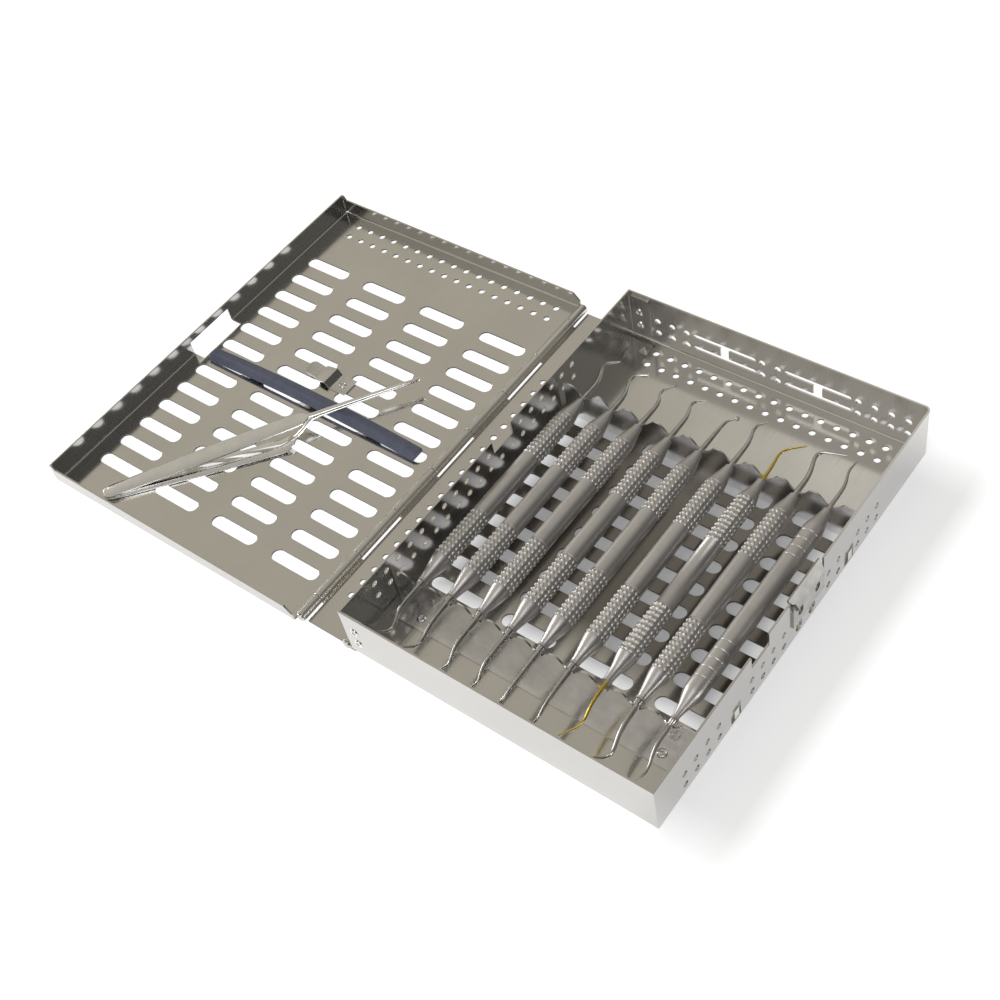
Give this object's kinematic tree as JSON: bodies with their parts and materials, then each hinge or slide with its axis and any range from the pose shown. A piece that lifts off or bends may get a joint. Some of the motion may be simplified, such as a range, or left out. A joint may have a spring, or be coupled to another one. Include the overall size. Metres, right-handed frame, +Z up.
{
  "type": "dental instrument cassette with hand scalers",
  "caption": "Open fold-flat perforated steel cassette with racked double-ended hand scalers, sprung silicone strip, clip and dressing pliers in its hinged lid.",
  "frame": {"origin": "middle of the tray's underside, on the surface that the open cassette rests on", "axes": "+X from the hinges to the latch wall, so the open lid lies on -X; +Y from the plain front wall to the back wall, along the hinges and instruments; +Z up"},
  "size_m": [0.3247, 0.2044, 0.027],
  "materials": {
    "tray_sheet": "satin brushed stainless sheet",
    "lid_sheet": "satin brushed stainless sheet, slightly warmer",
    "rack_sheet": "bright smooth stainless sheet",
    "rivet_steel": "bright domed rivets",
    "pin_steel": "drawn wire",
    "latch_steel": "spring steel, satin",
    "spring_steel": "bright spring strip",
    "clip_steel": "satin spring clip",
    "silicone": "matt slate-blue silicone",
    "handle_satin": "bead-blasted satin with a fine lengthwise grain",
    "end_steel": "polished instrument steel",
    "end_gold": "gold-coloured nitride coating on steel",
    "pliers_chrome": "mirror polished"
  },
  "bodies": {
    "tray": {"base_tray": "tray_sheet", "hinge_side_wall": "tray_sheet", "corner_rivets": "rivet_steel", "front_rack": "rack_sheet", "back_rack": "rack_sheet", "rack_rivets": "rivet_steel", "latch_spring": "latch_steel", "tray_hinge_pin": "pin_steel"},
    "spine": {"spine": "lid_sheet", "lid_hinge_pin": "pin_steel"},
    "lid": {"lid_pan": "lid_sheet", "retaining_strip": "silicone", "strip_leaf_spring": "spring_steel", "clip": "clip_steel", "clip_rivet": "rivet_steel"},
    "latch": {"latch_plate": "latch_steel"},
    "pliers": {"pliers_lower_arm": "pliers_chrome"},
    "pliers_upper": {"pliers_upper_arm": "pliers_chrome"},
    "instrument_1": {"instrument_1_handle": "handle_satin", "instrument_1_front_end": "end_steel", "instrument_1_back_end": "end_steel"},
    "instrument_2": {"instrument_2_handle": "handle_satin", "instrument_2_front_end": "end_steel", "instrument_2_back_end": "end_steel"},
    "instrument_3": {"instrument_3_handle": "handle_satin", "instrument_3_front_end": "end_steel", "instrument_3_back_end": "end_steel"},
    "instrument_4": {"instrument_4_handle": "handle_satin", "instrument_4_front_end": "end_steel", "instrument_4_back_end": "end_steel"},
    "instrument_5": {"instrument_5_handle": "handle_satin", "instrument_5_front_end": "end_steel", "instrument_5_back_end": "end_steel"},
    "instrument_6": {"instrument_6_handle": "handle_satin", "instrument_6_front_end": "end_steel", "instrument_6_back_end": "end_steel"},
    "instrument_7": {"instrument_7_handle": "handle_satin", "instrument_7_front_end": "end_gold", "instrument_7_back_end": "end_gold"},
    "instrument_8": {"instrument_8_handle": "handle_satin", "instrument_8_front_end": "end_steel", "instrument_8_back_end": "end_steel"},
    "instrument_9": {"instrument_9_handle": "handle_satin", "instrument_9_front_end": "end_steel", "instrument_9_back_end": "end_steel"}
  },
  "joints": [
    {"name": "spine_hinge", "type": "hinge", "parent": "tray", "child": "spine", "pos_m": [-0.07475, 0, 0.0024], "axis": [0, -1, 0], "range_deg": [-90, 0]},
    {"name": "lid_hinge", "type": "hinge", "parent": "spine", "child": "lid", "pos_m": [-0.10005, 0, 0.0024], "axis": [0, -1, 0], "range_deg": [-90, 0]},
    {"name": "latch_press", "type": "hinge", "parent": "tray", "child": "latch", "pos_m": [0.0723, 0.0027, 0.0203], "axis": [0, -1, 0], "range_deg": [0, 8], "stiffness_Nm_per_rad": 0.05},
    {"name": "pliers_lift", "type": "slide", "parent": "lid", "child": "pliers", "axis": [0, 0, 1], "range_m": [0, 0.06]},
    {"name": "pliers_jaw", "type": "hinge", "parent": "pliers", "child": "pliers_upper", "pos_m": [-0.2225, -0.0975, 0.0022], "axis": [0.8162, -0.5778, 0], "range_deg": [0, 6]},
    {"name": "instrument_1_lift", "type": "slide", "parent": "tray", "child": "instrument_1", "axis": [0, 0, 1], "range_m": [0, 0.06]},
    {"name": "instrument_2_lift", "type": "slide", "parent": "tray", "child": "instrument_2", "axis": [0, 0, 1], "range_m": [0, 0.06]},
    {"name": "instrument_3_lift", "type": "slide", "parent": "tray", "child": "instrument_3", "axis": [0, 0, 1], "range_m": [0, 0.06]},
    {"name": "instrument_4_lift", "type": "slide", "parent": "tray", "child": "instrument_4", "axis": [0, 0, 1], "range_m": [0, 0.06]},
    {"name": "instrument_5_lift", "type": "slide", "parent": "tray", "child": "instrument_5", "axis": [0, 0, 1], "range_m": [0, 0.06]},
    {"name": "instrument_6_lift", "type": "slide", "parent": "tray", "child": "instrument_6", "axis": [0, 0, 1], "range_m": [0, 0.06]},
    {"name": "instrument_7_lift", "type": "slide", "parent": "tray", "child": "instrument_7", "axis": [0, 0, 1], "range_m": [0, 0.06]},
    {"name": "instrument_8_lift", "type": "slide", "parent": "tray", "child": "instrument_8", "axis": [0, 0, 1], "range_m": [0, 0.06]},
    {"name": "instrument_9_lift", "type": "slide", "parent": "tray", "child": "instrument_9", "axis": [0, 0, 1], "range_m": [0, 0.06]}
  ],
  "couplings": [
    {"joint": "lid_hinge", "follows": "spine_hinge", "ratio": 1}
  ]
}
